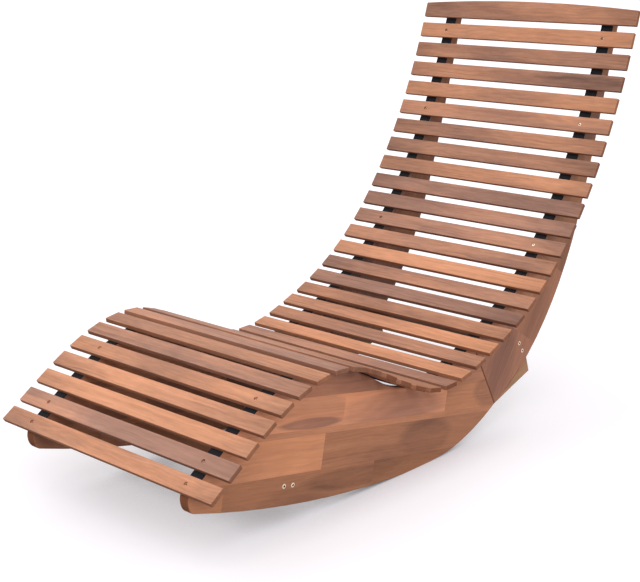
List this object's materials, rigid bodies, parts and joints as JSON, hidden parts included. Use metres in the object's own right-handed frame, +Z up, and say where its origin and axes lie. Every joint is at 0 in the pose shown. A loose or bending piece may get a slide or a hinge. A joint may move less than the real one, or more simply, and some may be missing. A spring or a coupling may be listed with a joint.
{
  "type": "rocking lounger",
  "caption": "Wooden outdoor rocking lounger: a wave-shaped bed of narrow slats carried by webbing on two curved rocker frames with tapering back rails.",
  "frame": {"origin": "on the floor, under the middle of the lounger's length and width", "axes": "+X along the slats, towards the left of someone lying on it; +Y from the foot end to the head end; +Z up"},
  "size_m": [0.6, 1.3636, 0.9186],
  "materials": {
    "slat_wood": "oiled hardwood slats, satin",
    "board_wood": "oiled hardwood board glued up from short blocks, satin",
    "cross_rail_wood": "oiled hardwood, satin",
    "plate_wood": "oiled hardwood, satin",
    "webbing": "black woven webbing, matt",
    "zinc_plated_steel": "zinc-plated steel"
  },
  "bodies": {
    "root": {"back_rail_left": "board_wood", "back_rail_right": "board_wood", "base_panel_left": "board_wood", "base_panel_right": "board_wood", "frame_screw_front_left_1": "zinc_plated_steel", "frame_screw_front_left_2": "zinc_plated_steel", "frame_screw_front_right_1": "zinc_plated_steel", "frame_screw_front_right_2": "zinc_plated_steel", "frame_screw_rear_left_1": "zinc_plated_steel", "frame_screw_rear_left_2": "zinc_plated_steel", "frame_screw_rear_right_1": "zinc_plated_steel", "frame_screw_rear_right_2": "zinc_plated_steel", "front_cross_rail": "cross_rail_wood", "rear_cross_rail": "cross_rail_wood", "slat_01": "slat_wood", "slat_02": "slat_wood", "slat_03": "slat_wood", "slat_04": "slat_wood", "slat_05": "slat_wood", "slat_06": "slat_wood", "slat_07": "slat_wood", "slat_08": "slat_wood", "slat_09": "slat_wood", "slat_10": "slat_wood", "slat_11": "slat_wood", "slat_12": "slat_wood", "slat_13": "slat_wood", "slat_14": "slat_wood", "slat_15": "slat_wood", "slat_16": "slat_wood", "slat_17": "slat_wood", "slat_18": "slat_wood", "slat_19": "slat_wood", "slat_20": "slat_wood", "slat_21": "slat_wood", "slat_22": "slat_wood", "slat_23": "slat_wood", "slat_24": "slat_wood", "slat_25": "slat_wood", "slat_26": "slat_wood", "slat_27": "slat_wood", "slat_28": "slat_wood", "slat_29": "slat_wood", "slat_30": "slat_wood", "slat_31": "slat_wood", "slat_32": "slat_wood", "slat_33": "slat_wood", "slat_34": "slat_wood", "slat_35": "slat_wood", "slat_screw_01_left": "zinc_plated_steel", "slat_screw_01_right": "zinc_plated_steel", "slat_screw_24_left": "zinc_plated_steel", "slat_screw_24_right": "zinc_plated_steel", "slat_screw_34_left": "zinc_plated_steel", "slat_screw_34_right": "zinc_plated_steel", "splice_plate_left": "plate_wood", "splice_plate_right": "plate_wood", "strap_left": "webbing", "strap_right": "webbing"}
  },
  "joints": []
}
